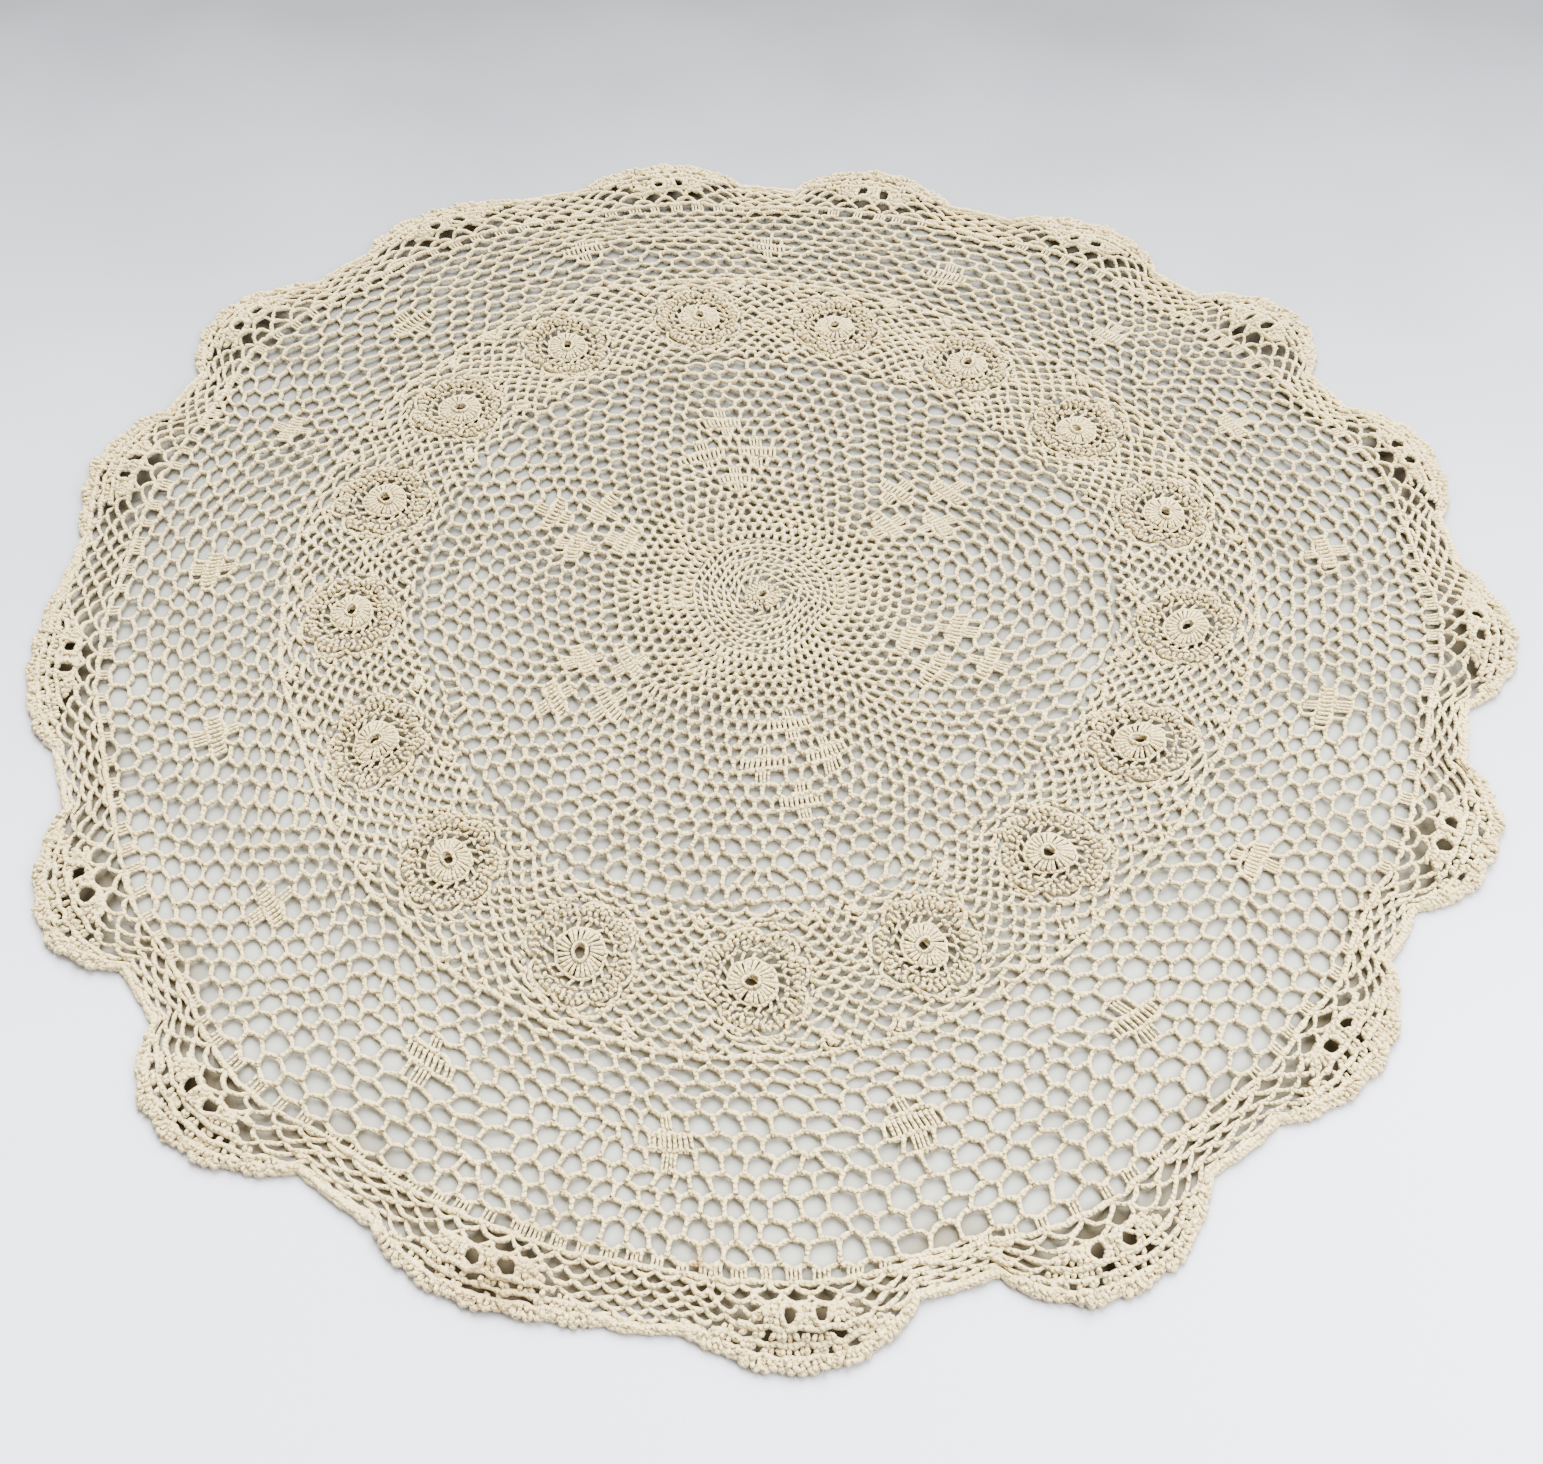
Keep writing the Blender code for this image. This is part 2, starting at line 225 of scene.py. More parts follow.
class Work:
    """The strands of one piece: rows of x, y, height over the underside, and radius."""

    def __init__(self, name):
        self.name = name
        self.lots = {}

    def strand(self, xy, height, radius):
        rows = np.empty((len(xy), 4))
        rows[:, :2] = xy
        rows[:, 2] = height
        rows[:, 3] = radius
        self.lots.setdefault(len(xy), []).append(rows)

    def chain(self, path, radius=YARN, height=None, float_up=0.0):
        """A chain of links along a path of x, y points."""
        steps = np.hypot(*np.diff(path, axis=0).T)
        gone = np.concatenate([[0], np.cumsum(steps)])
        count = max(4, round(gone[-1] / RING_STEP)) + 1
        at = np.linspace(0, gone[-1], count)
        xy = np.stack([np.interp(at, gone, path[:, i]) for i in (0, 1)], -1)
        along = np.gradient(xy, axis=0)
        along /= np.hypot(*along.T)[:, None]
        wild = draw.normal(0, UNEVEN, (3, count + 2))  # then evened out with its neighbours
        sideways, up, thick = (wild[:, 2:] + 3 * wild[:, 1:-1] + wild[:, :-2]) / 3.4
        xy += np.stack([-along[:, 1], along[:, 0]], -1) * (radius * sideways)[:, None]
        arch = np.sin(np.linspace(0, pi, count))
        base = FLATNESS * radius if height is None else height
        self.strand(xy, base + radius * up + float_up * arch, radius * (1 + thick))

    def post(self, foot, head, radius, swell=1.0, height=None, bulge=0.0):
        """A long stitch from foot to head: wider where it is looped in at both ends."""
        xy = foot + (np.asarray(head) - foot) * POST_AT[:, None]
        profile = radius * (POST_WIDTH * (1, 1, 1, swell)) * draw.uniform(0.92, 1.08, 4)
        base = FLATNESS * radius if height is None else height
        self.strand(xy, base + bulge * POST_LIFT, profile)

    def knot(self, middle, direction, length, radius, height):
        """A short fat bit of yarn that shows where it turns over itself."""
        turned = direction + draw.normal(0, KNOT_TURN)
        half = 0.5 * length * np.array([cos(turned), sin(turned)])
        xy = middle + draw.normal(0, 0.0003, 2) + half * np.array([-1.0, 0.0, 1.0])[:, None]
        size = radius * draw.uniform(0.85, 1.15) * KNOT_WIDTH
        self.strand(xy, FLATNESS * radius + height + draw.normal(0, 0.0004) + KNOT_ARCH, size)


print("yarn", round(2 * YARN / MM, 2), "mm thick")

# %% Tubes from strands
UP = np.array([0.0, 0.0, 1.0])
SIDES = len(SECTION)


def unit(v):
    return v / np.maximum(np.linalg.norm(v, axis=-1, keepdims=True), 1e-9)


def tubes(rows, start):
    """Strands of as many points each, as tubes: points, side faces, ends and the sides' UVs."""
    strands, count, _ = rows.shape
    centre = laid(rows[..., :2])
    centre[..., 2] += rows[..., 2]
    along = unit(np.gradient(centre, axis=1))
    side = unit(np.cross(along, UP))
    top = np.cross(side, along)
    ring = centre[:, :, None] + rows[..., 3][..., None, None] * (
        np.cos(SECTION)[:, None] * side[:, :, None]
        + FLATNESS * np.sin(SECTION)[:, None] * top[:, :, None])
    first = start + np.arange(strands)[:, None, None] * count * SIDES
    at = first + np.arange(count - 1)[:, None] * SIDES
    here, after = np.arange(SIDES), (np.arange(SIDES) + 1) % SIDES
    quads = np.stack([at + here, at + after, at + after + SIDES, at + here + SIDES], -1)
    ends = np.concatenate([first[:, 0] + here[::-1], first[:, 0] + (count - 1) * SIDES + here])
    steps = np.linalg.norm(np.diff(centre, axis=1), axis=2)
    gone = np.concatenate([np.zeros((strands, 1)), np.cumsum(steps, 1)], 1)
    gone += draw.uniform(0, LINK, (strands, 1))
    v0, v1 = gone[:, :-1, None] + 0 * here, gone[:, 1:, None] + 0 * here
    u0, u1 = here / SIDES + 0 * v0, (here + 1) / SIDES + 0 * v0
    uv = np.stack([u0, v0, u1, v0, u1, v1, u0, v1], -1)
    return ring.reshape(-1, 3), quads.reshape(-1, 4), ends, uv.reshape(-1, 2)


def add_object(name, data):
    made = bpy.data.objects.new(name, data)
    bpy.context.scene.collection.objects.link(made)
    return made


def make_tubes(work):
    """One mesh of closed tubes, with U around each strand and V along it in metres."""
    lots, start = [], 0
    for count in sorted(work.lots):
        lots.append(tubes(np.array(work.lots[count]), start))
        start += len(lots[-1][0])
    points, quads, ends, uv = map(np.concatenate, zip(*lots))
    mesh = bpy.data.meshes.new(work.name)
    mesh.from_pydata(points, [], quads.tolist() + ends.tolist(), shade_flat=False)
    mesh.uv_layers.new(name="yarn").data.foreach_set(
        "uv", np.concatenate([uv, np.zeros((ends.size, 2))]).ravel())
    mesh.materials.append(COTTON)
    print(f"{work.name}: {len(ends) // 2} strands")
    return add_object(work.name, mesh)


# %% [markdown]
# ## Cotton
# The yarn is undyed mercerised cotton, plied and a little fuzzy: warm ivory, matt, with a faint
# sheen. A picture texture would be quick, but noise and waves at the yarn's real scale stay sharp
# from any distance. The links of the chain are a wave of bump 2.8 mm long, drawn as chevrons by
# letting it lag around the strand. Little light reaches the grooves between the links, the flanks
# of the strands and the crevices between stitches, so shade is painted there: the cotton is
# coloured a darker, greyer shade.

# %% Colour and nodes
def linear(code):
    """sRGB hex to linear RGBA."""
    parts = [int(code[i:i + 2], 16) / 255 for i in (1, 3, 5)]
    return (*(c / 12.92 if c <= 0.04045 else ((c + 0.055) / 1.055) ** 2.4 for c in parts), 1.0)


def node(tree, kind, inputs=None, stops=(), **settings):
    """Adds a shader node with its settings. An input that is a node or a socket is linked, and
    a hex code becomes a colour. The stops are a colour ramp's places and hex codes."""
    made = tree.nodes.new("ShaderNode" + kind)
    for name, value in settings.items():
        setattr(made, name, value)
    for name, value in (inputs or {}).items():
        if isinstance(value, bpy.types.Node):
            value = next(output for output in value.outputs if output.enabled)
        if isinstance(value, bpy.types.NodeSocket):
            tree.links.new(value, made.inputs[name])
        else:
            made.inputs[name].default_value = linear(value) if isinstance(value, str) else value
    for number, (place, code) in enumerate(stops):
        made.color_ramp.elements[number].position = place
        made.color_ramp.elements[number].color = linear(code)
    return made


def new_material(name):
    """A material, and the function that adds a node to it."""
    material = bpy.data.materials.new(name)
    material.use_nodes = True
    material.node_tree.nodes.clear()
    return material, partial(node, material.node_tree)


print("ivory in linear light", [round(c, 3) for c in linear("#E6D6A3")])

# %% Undyed cotton yarn
FUZZ = 0.0024  # the loose fibres, drawn six times as coarse as they are, to show
SHADE = 0.045  # width of the cloth's slightly darker and lighter parts
KNOB = 0.0020  # size of the knobs where the yarn turns
# the last colour is painted shade, for the grooves between the chain's links
YARN_SHADE, YARN_LIGHT, GROOVE_SHADE = "#CFBD88", "#E6D6A3", "#9A8865"
FLANK_SHADE = "#BCAD8B"  # painted shade on the flanks, where the yarn lies against its neighbours and little light reaches
CREVICE_SHADE = "#B5A78A"  # painted shade deep between the stitches, where little light gets in
CREVICE_REACH = 0.004
TOP_MIDDLE = 0.375  # U of the line along the top of a strand
STAIN = "#A97F45"  # an old brown mark, and scallops a little browned
STAINS = [((-0.0388, -0.3964, 0.0), 0.010, 0.85), ((-0.1347, -0.4105, 0.0), 0.030, 0.35)]


def spot(add, place, middle, size, hold=0.25):
    """1 at a place on the cloth as far as hold of its size, fading to 0 at size metres from it."""
    away = add("VectorMath", {0: place, 1: middle}, operation="DISTANCE")
    return add("MapRange", {"Value": away, "From Min": hold * size, "From Max": size,
                            "To Min": 1.0, "To Max": 0.0}, interpolation_type="SMOOTHSTEP")


def link_wave(add, uv, fibres):
    """Waves along the yarn, one to a link, that lag around it and are roughened by the fibres."""
    split = add("SeparateXYZ", {"Vector": uv})
    twice = add("Math", {0: split.outputs["X"], 1: tau * 2}, operation="MULTIPLY")
    lag = add("Math", {0: twice}, operation="SINE")
    turns = add("Math", {0: split.outputs["Y"], 1: tau / LINK}, operation="MULTIPLY")
    strayed = add("Math", {0: fibres, 1: 6.0}, operation="MULTIPLY")
    lagging = add("Math", {0: turns, 1: lag}, operation="ADD")
    rough = add("Math", {0: lagging, 1: strayed}, operation="ADD")
    return split, add("Math", {0: rough}, operation="SINE")


def cotton_colour(add, place, split, links, fibres):
    """Ivory with paler parts, and painted shade in the grooves, on the flanks and in the crevices."""
    patches = add("TexNoise", {"Vector": place, "Scale": 1 / SHADE})
    both = add("Math", {0: patches, 1: fibres}, operation="ADD")
    mixed = add("Math", {0: both, 1: 0.5}, operation="MULTIPLY")
    colour = add("ValToRGB", {"Fac": mixed}, [(0.35, YARN_SHADE), (0.65, YARN_LIGHT)])
    # painted shade: darker in the troughs of the link wave, between the links
    groove_shade = add("MapRange", {"Value": links, "From Min": -1.0, "From Max": -0.3,
                              "To Min": 0.16, "To Max": 0.0})
    # painted shade: darker towards the lower flanks of the strand, away from its top line
    off_top = add("Math", {0: split.outputs["X"], 1: TOP_MIDDLE}, operation="SUBTRACT")
    flank = add("Math", {0: off_top}, operation="ABSOLUTE")
    low = add("MapRange", {"Value": flank, "From Min": 0.10, "From Max": 0.38, "To Max": 0.7})
    # painted shade: darker where other yarn is close by and hides the light
    deep = add("AmbientOcclusion", {"Distance": CREVICE_REACH}, samples=1)
    depth = add("MapRange", {"Value": deep.outputs["AO"], "From Min": 0.05, "From Max": 0.60,
                             "To Min": 0.5, "To Max": 0.0})
    # painted shade in three places, then the real old stains
    painted_shade_and_stains = [(groove_shade, GROOVE_SHADE), (low, FLANK_SHADE), (depth, CREVICE_SHADE)]
    for middle, size, strength in STAINS:
        painted_shade_and_stains.append((add("Math", {0: spot(add, place, middle, size), 1: strength},
                          operation="MULTIPLY"), STAIN))
    for share, code in painted_shade_and_stains:
        colour = add("Mix", {"Factor": share, 6: colour, 7: code}, data_type="RGBA")
    return colour


def cotton_yarn():
    material, add = new_material("undyed_cotton_yarn")
    where = add("TexCoord")
    place = where.outputs["Object"]
    fibres = add("TexNoise", {"Vector": place, "Scale": 1 / FUZZ})
    split, links = link_wave(add, where.outputs["UV"], fibres)
    colour = cotton_colour(add, place, split, links, fibres)
    knobs = add("TexVoronoi", {"Vector": place, "Scale": 1 / KNOB}, feature="F1")
    bump = add("Bump", {"Height": links, "Strength": 0.7, "Distance": 0.0004})
    knobbly = add("Bump", {"Height": knobs, "Strength": 0.9, "Distance": 0.0009, "Normal": bump},
                  invert=True)
    fuzzy = add("Bump", {"Height": fibres, "Strength": 0.5, "Distance": 0.0003,
                         "Normal": knobbly})
    shader = add("BsdfPrincipled",
                 {"Base Color": colour, "Roughness": 0.85, "Normal": fuzzy, "Sheen Weight": 0.25,
                  "Sheen Roughness": 0.5, "Specular IOR Level": 0.25})
    add("OutputMaterial", {"Surface": shader})
    return material


COTTON = cotton_yarn()
print("material", COTTON.name)

# %% [markdown]
# ## Rounds of net
# Most of the doily is net: a post is worked into the middle of each chain of the round before,
# and a new chain runs from its head to the next. The next post draws the middle of that chain
# outwards, which gives rounded six-sided cells. A grid of hexagons would be too even, so the
# rounds are worked as the hand works them: each round's feet are the middles of the last.

# %% Working a round of net
WOBBLE = 0.0012  # how far a stitch strays
ARCH = 0.0027  # how far a chain's middle is drawn outwards
CROWD = 0.065  # stitches stray no more than this share of their spacing
PATH = np.linspace(0, 1, 13)
Block = namedtuple("Block", "u stitches spacing")


def apart(u, other):
    """How far apart two places of a round are, in repeats."""
    return np.abs((u - other + REPEATS / 2) % REPEATS - REPEATS / 2)


def next_place(places, i):
    """The place after number i of a round, which closes after its last."""
    return places[(i + 1) % len(places)] + (REPEATS if i + 1 == len(places) else 0)


def settle(u):
    """Heads move a little towards the middle between their neighbours."""
    for _ in range(6):
        before, after = np.roll(u, 1), np.roll(u, -1)
        before[0] -= REPEATS
        after[-1] += REPEATS
        u = 0.5 * u + 0.25 * (before + after)
    return u


def hang(t, middle):
    """How a chain hangs: rounded over both heads, and pointed where the next post pulls it."""
    return 1 - np.abs(np.cos(pi * np.interp(t, [0.0, middle, 1.0], [0.0, 0.5, 1.0])))


def stitch_block(work, block, q_foot, q_head, radius=YARN):
    """A block of long stitches side by side."""
    spread = (np.arange(block.stitches) - (block.stitches - 1) / 2) * block.spacing
    scale = REPEATS / (tau * q_head)
    radius = min(radius, 0.42 * block.spacing)
    for offset in spread:
        lean = draw.normal(0, 0.0002)
        foot = pattern_xy(block.u + offset * 0.97 * scale, q_foot)
        head = pattern_xy(block.u + (offset + lean) * scale, q_head)
        work(block.u).post(foot, head, radius, 0.8, height=FLATNESS * YARN, bulge=0.0005)


def net_round(work, feet, q_foot, q_head, arch, extra, blocks, radius, skip=()):
    """Posts from the feet, and chains from head to head. Returns the next feet and reaches."""
    count = len(feet)
    scale = REPEATS / (tau * q_head)
    stray = min(WOBBLE, CROWD * tau * q_head / count)
    heads = settle(feet) + draw.normal(0, stray, count) * scale
    sway = tau * draw.integers(5, 23) / REPEATS * heads + draw.uniform(0, tau)
    q_heads = q_head - arch / 2 + draw.normal(0, 0.5 * stray, count) + 0.5 * stray * np.sin(sway)
    solid = np.zeros(count, bool)
    for block in blocks:
        half = block.stitches * block.spacing / 2 * scale
        solid |= apart(heads, block.u) < half + 0.12 * REPEATS / count
        stitch_block(work, block, np.mean(q_foot) - arch / 3, q_head, radius)
    for u in skip:
        solid[np.argmin(apart(heads, u))] = True
    for i in np.flatnonzero(~solid):
        work(feet[i]).post(pattern_xy(feet[i], q_foot[i]), pattern_xy(heads[i], q_heads[i]),
                           radius, bulge=0.0003)
    doubled = set(draw.choice(count, extra, replace=False))
    next_u, next_q = [], []
    for i in range(count):
        u0, u1 = heads[i], next_place(heads, i)
        inside = any(apart(0.5 * (u0 + u1), b.u) < b.stitches * b.spacing / 2 * scale
                     for b in blocks)
        rise = (0.3 if inside else 1.0) * arch * draw.uniform(0.8, 1.25)
        middle = draw.uniform(0.44, 0.56)
        q0, q1 = q_heads[i], q_heads[(i + 1) % count]
        u = u0 + (u1 - u0) * PATH
        q = q0 + (q1 - q0) * PATH + rise * hang(PATH, middle)
        work(0.5 * (u0 + u1)).chain(pattern_xy(u, q), radius, float_up=draw.uniform(0, LOOSE))
        for share in ((0.3, 0.7) if i in doubled else (middle,)):
            next_u.append(u0 + (u1 - u0) * share)
            next_q.append(q0 + (q1 - q0) * share + rise * hang(share, middle))
    order = np.argsort(next_u)
    return np.array(next_u)[order], np.array(next_q)[order]


def ridge(work, place, radius, strand_radius, height, wave=0.0, waves=0):
    """A closed round of chain about a point of the pattern."""
    turns = np.linspace(0, tau, 8 * max(6, round(radius / MM)) + 1)
    reach = radius + wave * np.cos(waves * turns + draw.uniform(0, tau))
    work.chain(place(reach * np.sin(turns), reach * np.cos(turns)), strand_radius, height)


Round = namedtuple("Round", "inner outer posts slant radius taper")


def post_round(work, place, made, bulge, first, crown=0.0):
    """Posts that stand around a point, leaning by slant of their spacing."""
    step = tau / made.posts
    shares = np.array([0.0, 0.3, 0.68, 1.0])
    width = made.taper + (1 - made.taper) * shares
    for i in range(made.posts):
        angle = first + i * step + draw.normal(0, 0.06) * step
        lean = angle + (made.slant + draw.normal(0, 0.08)) * step
        foot = place(made.inner * sin(angle), made.inner * cos(angle))
        head = place(made.outer * sin(lean), made.outer * cos(lean))
        profile = made.radius * width * np.array([1.1, 0.95, 0.98, 1.2])
        height = (made.radius * FLATNESS + bulge * np.array([0.0, 0.8, 1.0, 0.4])
                  + crown * (1 - shares))
        work.strand(foot + (head - foot) * shares[:, None], height, profile)


def knot_round(work, place, radius, count, size, height, lean=0.5):
    """A close round of knots about a point."""
    first = draw.uniform(0, tau)
    for i in range(count):
        angle = first + tau * i / count
        middle = place(radius * sin(angle), radius * cos(angle))
        outwards = middle - place(0.0, 0.0)
        work.knot(middle, atan2(outwards[1], outwards[0]) + lean, 0.0032, size, height)


print("a cell is drawn out by", round(ARCH / MM, 1), "mm")

# %% [markdown]
# ## Medallion
# The middle is begun with a ring of chain and a small disc of knots. Seven rounds of single
# stitches follow, which lean like a pinwheel, each closed with a ridge of chain, and then net.
# The increases are chains that take two posts. Six groups of four small filled diamonds are
# blocks of long stitches in three rounds each.

# %% Solid middle of the medallion
MIDDLE_EYE = 0.0036
MIDDLE_HEIGHTS = (0.0010, 0.0028, 0.0042)  # of the three chains around the eye
RIDGE_GAP = 0.0010  # from the heads of a round to its ridge
MIDDLE_KNOTS = [(0.0056, 14), (0.0080, 20), (0.0103, 27)]  # reach and knots of the disc
MIDDLE_ROUNDS = [
    Round(0.0120, 0.0160, 13, 0.50, 0.0012, 0.90),
    Round(0.0180, 0.0207, 20, 0.40, 0.0011, 0.95),
    Round(0.0227, 0.0254, 27, 0.40, 0.0011, 0.95),
    Round(0.0274, 0.0301, 33, 0.40, 0.0012, 0.95),
    Round(0.0321, 0.0348, 39, 0.35, 0.0012, 0.95),
    Round(0.0368, 0.0395, 45, 0.35, 0.0012, 0.95),
    Round(0.0415, 0.0441, 50, 0.30, 0.0013, 0.95),
]
medallion_work = Work("medallion_lace")


def at_middle(side, out):
    return np.stack([side, out], -1)


for height in MIDDLE_HEIGHTS:
    ridge(medallion_work, at_middle, MIDDLE_EYE, TIGHT, height)
for reach, count in MIDDLE_KNOTS:
    knot_round(medallion_work, at_middle, reach, count, TIGHT, MIDDLE_EYE - reach / 4)
for made in MIDDLE_ROUNDS:
    post_round(medallion_work, at_middle, made, 0.0008, draw.uniform(0, tau))
    ridge(medallion_work, at_middle, made.outer + RIDGE_GAP, 0.0012, 0.0018, wave=0.0006,
          waves=int(draw.integers(6, 11)))
print("solid rounds", len(MIDDLE_ROUNDS))

# %% Net of the medallion
CLUSTERS = [37, -22, -81, -147, 154, 100]  # direction of each group, in degrees
NET_START = 0.0462
# each round's posts, and the reach of its heads as a share of RING
MEDALLION_ROUNDS = [
    (58, 0.201), (60, 0.228), (62, 0.253), (66, 0.278), (68, 0.304), (70, 0.331), (72, 0.364),
    (75, 0.398), (78, 0.431), (80, 0.465), (82, 0.499), (84, 0.534), (84, 0.569), (86, 0.604),
    (86, 0.639), (88, 0.674), (90, 0.710), (92, 0.745), (96, 0.780), (102, 0.8215)]
CLUSTER_DIAMONDS = [(7, 0), (10, -19), (10, 19), (13, 0)]  # middle round, and mm to the side
DIAMOND_ROWS = [(-1, 3, 0.0024), (0, 9, 0.0032), (1, 4, 0.0024)]  # round, stitches, spacing


def cluster_blocks(row):
    """The stitch blocks in a round of the medallion."""
    blocks = []
    for direction in CLUSTERS:
        u = (FIRST_ROSETTE - radians(direction)) * REPEATS / tau % REPEATS
        for middle_row, aside in CLUSTER_DIAMONDS:
            shift = aside * MM * REPEATS / (tau * (MEDALLION_ROUNDS[middle_row][1] * RING))
            blocks += [Block(u + shift, stitches, spacing)
                       for of_row, stitches, spacing in DIAMOND_ROWS if middle_row + of_row == row]
    return blocks


feet = np.arange(MEDALLION_ROUNDS[0][0]) * REPEATS / MEDALLION_ROUNDS[0][0]
q_feet = np.full(len(feet), NET_START)
for row, (count, top) in enumerate(MEDALLION_ROUNDS):
    following = MEDALLION_ROUNDS[min(row + 1, len(MEDALLION_ROUNDS) - 1)][0]
    arch = ARCH * min(1.0, 0.4 + top)
    close = YARN * (0.92 + 0.14 * max(0.0, 1 - row / 9))
    feet, q_feet = net_round(lambda u: medallion_work, feet, q_feet, top * RING, arch,
                             following - count, cluster_blocks(row), close)
medallion = make_tubes(medallion_work)

# %% [markdown]
# ## Rosettes
# Each of the seventeen motifs is begun at its own eye: a disc of long stitches, two rounds of
# slanting eyelets, and eight petals of bobbly stitches bound with a round of knots. Rounds of
# chain loops then fill the ring around them all. The loops have no posts; each springs from the
# crests of two loops before it. One motif could be copied seventeen times, but no two in handwork
# are alike, so each is worked afresh.

# %% One rosette
EYE, DISC, PETALS = 0.0043, 0.0128, 0.0300  # reaches from the rosette's middle
EYE_HEIGHTS = (0.0010, 0.0028, 0.0044)
DISC_POSTS = Round(0.0054, 0.0124, 24, 0.6, 0.00148, 0.60)
EYELETS = Round(0.0138, 0.0178, 15, 0.4, 0.0011, 1.0)
SMALL_EYELETS = Round(0.0196, 0.0220, 22, 0.4, 0.0010, 1.0)
PETAL_COUNT = 8
PETAL_FOOT = 0.0212
PETAL_RIDGE = 0.0255
# reach and knots of a petal's rows, and of the closed rounds of knots
PETAL_KNOTS = [(0.0229, 5), (0.0253, 5), (0.0278, 6)]
EYELET_KNOTS, RIM_KNOTS = (0.0187, 34), (PETALS + 0.0021, 52)
MESH_ROUNDS = 17  # rounds of chain loops from the medallion to the outer net
MESH_LOOPS = 124  # loops of each round, all around
MESH_CROWD = 0.037  # how much closer they are between the rosettes
MESH_PART = 0.0016  # how far the rounds part around a rosette
MESH_CLEAR = 0.0318  # the loops end at this distance from its middle
MESH_KNOTS = 0.45  # share of the places where two loops meet that show a knot


def motif_place(number):
    """Places side, out distances about a rosette's middle in the pattern."""
    middle = pattern_xy(float(number), RING)
    outwards = middle / RING

    def place(side, out):
        side, out = np.asarray(side), np.asarray(out)
        return np.stack([middle[0] + outwards[1] * side + outwards[0] * out,
                         middle[1] - outwards[0] * side + outwards[1] * out], -1)
    return place


def petals(work, place, turn):
    """Eight fans of bobbly stitches, with a chain around each."""
    step = tau / PETAL_COUNT
    outwards = place(0.0, 1.0) - place(0.0, 0.0)
    heading = atan2(outwards[1], outwards[0])
    for number in range(PETAL_COUNT):
        middle = turn + number * step + draw.normal(0, 0.03)
        size = draw.uniform(0.93, 1.05)
        for ring, (reach, knots) in enumerate(PETAL_KNOTS):
            for i in range(knots):
                spread = 2 * i / (knots - 1) - 1
                angle = middle + 0.40 * step * spread
                out = reach + (PETALS - reach) * (size - 1) - 0.0016 * spread * spread * ring
                work.knot(place(out * sin(angle), out * cos(angle)),
                          heading - angle + draw.normal(0, 0.4), LINK, 0.0012,
                          0.0012 + 0.0005 * ring)
        spread = np.linspace(-1.1, 1.1, 13)
        angle = middle + 0.43 * step * spread
        reach = (PETAL_FOOT + (PETALS + 0.0006 - PETAL_FOOT) * size
                 - 0.0032 * np.abs(spread) ** 3.2)
        work.chain(place(reach * np.sin(angle), reach * np.cos(angle)), 0.8 * YARN)


def near(u, other):
    """The same place of the round as u, given in repeats close to the other."""
    return other + (u - other + REPEATS / 2) % REPEATS - REPEATS / 2


def mesh_q(row, u):
    """Reach of a round's crests: the rounds part a little around each rosette."""
    q = MEDALLION_EDGE + 0.0008 + (MOTIF_EDGE - MEDALLION_EDGE - 0.0016) * row / MESH_ROUNDS
    return q + MESH_PART * np.sin(tau * row / MESH_ROUNDS) * -np.cos(tau * np.asarray(u))


def loop(u0, u1, q0, q1, crest, roundness):
    """A loop of chain from one place to the next, by way of its crest: places and reaches."""
    t = np.linspace(0, 1, 15)
    bow = np.sin(pi * t) ** roundness
    return u0 + (u1 - u0) * t, q0 + (q1 - q0) * t + (crest - (q0 + q1) / 2) * bow


def mesh_rounds(works):
    """Rounds of chain loops around the whole ring, left out where the rosettes are."""
    number = np.arange(MESH_LOOPS)
    crests = None
    for row in range(MESH_ROUNDS + 1):
        v = (number + 0.5 * (row % 2)) * REPEATS / MESH_LOOPS + draw.normal(0, 0.010, len(number))
        u = v + MESH_CROWD * np.sin(tau * v)
        q = mesh_q(row, u) + draw.normal(0, 0.0006, len(number)) * (0 < row < MESH_ROUNDS)
        before, crests = crests, (u, q)
        if row == 0:
            continue
        for i in number:
            left = (i - 1 + row % 2) % len(number)
            right = (left + 1) % len(number)
            u0, u1 = (near(before[0][at], u[i]) for at in (left, right))
            path = pattern_xy(*loop(u0, u1, before[1][left], before[1][right], q[i], 0.42))
            rosette_here = int(np.round(u[i])) % REPEATS
            middle = pattern_xy(rosette_here, RING)
            crest = pattern_xy(u[i], q[i])
            if dist(crest, middle) > MESH_CLEAR and draw.random() < MESH_KNOTS:
                works[rosette_here].knot(crest, draw.uniform(0, pi), LINK, 0.0014, 0.0006)
            kept = np.flatnonzero(np.hypot(*(path - middle).T) > MESH_CLEAR)
            for run in np.split(kept, np.flatnonzero(np.diff(kept) > 1) + 1):
                if len(run) > 2:
                    works[rosette_here].chain(path[run], 0.84 * YARN,
                                              float_up=draw.uniform(0, LOOSE))


# reach and half width of the corners, from the rosette's middle
CORNERS = [(MOTIF_EDGE - RING - 0.006, 0.0375), (MEDALLION_EDGE - RING + 0.006, 0.0310)]


def tufts(work, place):
    """Pairs of long stitches in the corners, where two motifs are joined."""
    for out, side in CORNERS:
        for sign, spread in ((-1, -0.0014), (-1, 0.0014), (1, -0.0014), (1, 0.0014)):
            foot = place(sign * (side - 0.006) + 0.3 * spread, out - 0.006 * np.sign(out))
            work.post(foot, place(sign * side + spread, out), 0.9 * YARN, bulge=0.0008)


